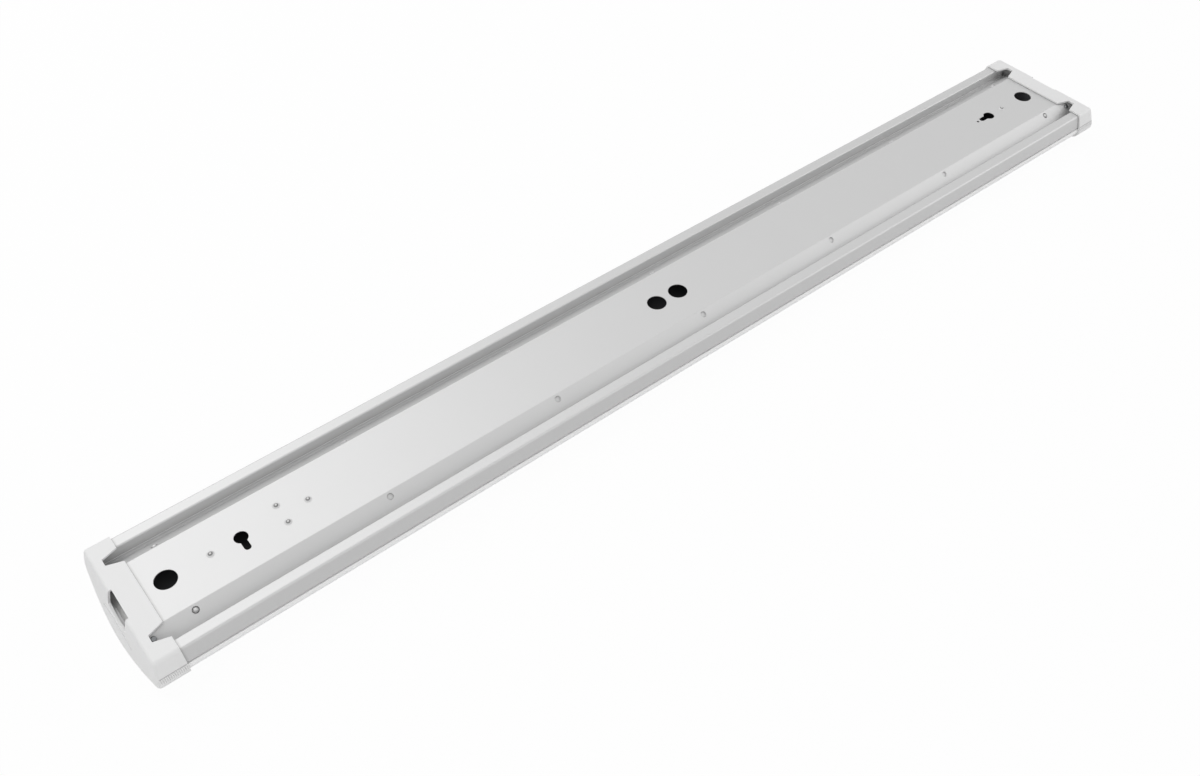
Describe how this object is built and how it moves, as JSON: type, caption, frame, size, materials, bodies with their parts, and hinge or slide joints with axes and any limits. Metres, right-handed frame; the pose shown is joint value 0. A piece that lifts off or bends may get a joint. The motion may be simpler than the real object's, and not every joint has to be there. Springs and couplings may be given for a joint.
{
  "type": "surface-mounted led light",
  "caption": "Long white surface-mounted LED ceiling light seen from its mounting side, with a folded steel housing, moulded end caps and an opal lens.",
  "frame": {"origin": "centre of the centre cable entry on the upper face of the housing's panel", "axes": "+X along the light, +Z toward the ceiling, lens toward -Z"},
  "size_m": [1.2214, 0.1508, 0.0403],
  "materials": {
    "white_steel": "satin white powder coat",
    "white_cap": "satin white moulding",
    "opal_lens": "satin opal diffuser",
    "white_tray": "satin white coat",
    "black_liner": "matt black insulating sheet",
    "white_board": "white solder mask",
    "led_phosphor": "cured silicone",
    "zinc_steel": "bright zinc",
    "brass": "bright",
    "driver_white": "fine texture",
    "terminal_grey": "satin",
    "clip_white": "satin",
    "lead_brown": "satin",
    "lead_blue": "satin",
    "lead_green": "satin",
    "lead_red": "satin",
    "lead_black": "satin",
    "black_rubber": "matt"
  },
  "bodies": {
    "root": {"back_snap_rail": "white_tray", "board_input_connectors": "clip_white", "board_links": "clip_white", "board_screws": "zinc_steel", "driver_case": "driver_white", "driver_input_terminal": "terminal_grey", "driver_lid": "driver_white", "driver_output_terminal": "terminal_grey", "driver_screws": "zinc_steel", "earth_lead": "lead_green", "earth_lug": "zinc_steel", "earth_nut": "zinc_steel", "earth_screw": "zinc_steel", "end_cap_screws": "zinc_steel", "front_snap_rail": "white_tray", "gear_tray": "white_tray", "housing_channel": "white_steel", "insulating_liner": "black_liner", "lead_clip": "clip_white", "led_board_1": "white_board", "led_board_2": "white_board", "led_board_3": "white_board", "led_board_4": "white_board", "led_packages_1": "led_phosphor", "led_packages_2": "led_phosphor", "led_packages_3": "led_phosphor", "led_packages_4": "led_phosphor", "left_end_cap": "white_cap", "left_entry_clip": "clip_white", "lens_cover": "opal_lens", "live_lead": "lead_brown", "mains_terminal_block": "terminal_grey", "mains_terminal_screws": "brass", "negative_output_lead": "lead_black", "neutral_lead": "lead_blue", "output_grommet": "black_rubber", "positive_output_lead": "lead_red", "rail_rivets": "zinc_steel", "right_end_cap": "white_cap", "right_entry_clip": "clip_white"}
  },
  "joints": []
}
